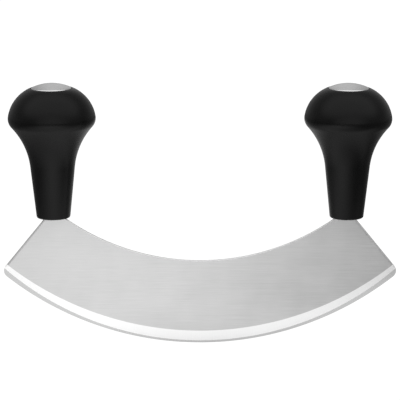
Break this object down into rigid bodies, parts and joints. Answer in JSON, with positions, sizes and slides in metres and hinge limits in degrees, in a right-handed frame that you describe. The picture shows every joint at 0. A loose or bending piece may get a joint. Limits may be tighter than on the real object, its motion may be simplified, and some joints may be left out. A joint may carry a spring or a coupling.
{
  "type": "mezzaluna",
  "caption": "Crescent rocking knife: a curved steel blade with a ground cutting edge and upright black knob handles with domed steel end caps.",
  "frame": {"origin": "lowest point of the cutting edge, in the middle of the blade's length and thickness", "axes": "+X along the blade towards the right handle, +Y through the blade's thickness, away from the viewer in the pictured view, +Z from the cutting edge up to the knobs"},
  "size_m": [0.2324, 0.0516, 0.156],
  "materials": {
    "blade_steel": "satin, with a finely ground bright bevel",
    "rod_steel": "plain turned",
    "handle_plastic": "fine matt moulded",
    "fastener_steel": "bright zinc plated",
    "cap_steel": "satin, domed"
  },
  "bodies": {
    "root": {"blade": "blade_steel", "tang_rod_left": "rod_steel", "tang_rod_right": "rod_steel", "handle_left": "handle_plastic", "handle_right": "handle_plastic", "washer_left": "fastener_steel", "washer_right": "fastener_steel", "nut_left": "fastener_steel", "nut_right": "fastener_steel", "end_cap_left": "cap_steel", "end_cap_right": "cap_steel"}
  },
  "joints": []
}
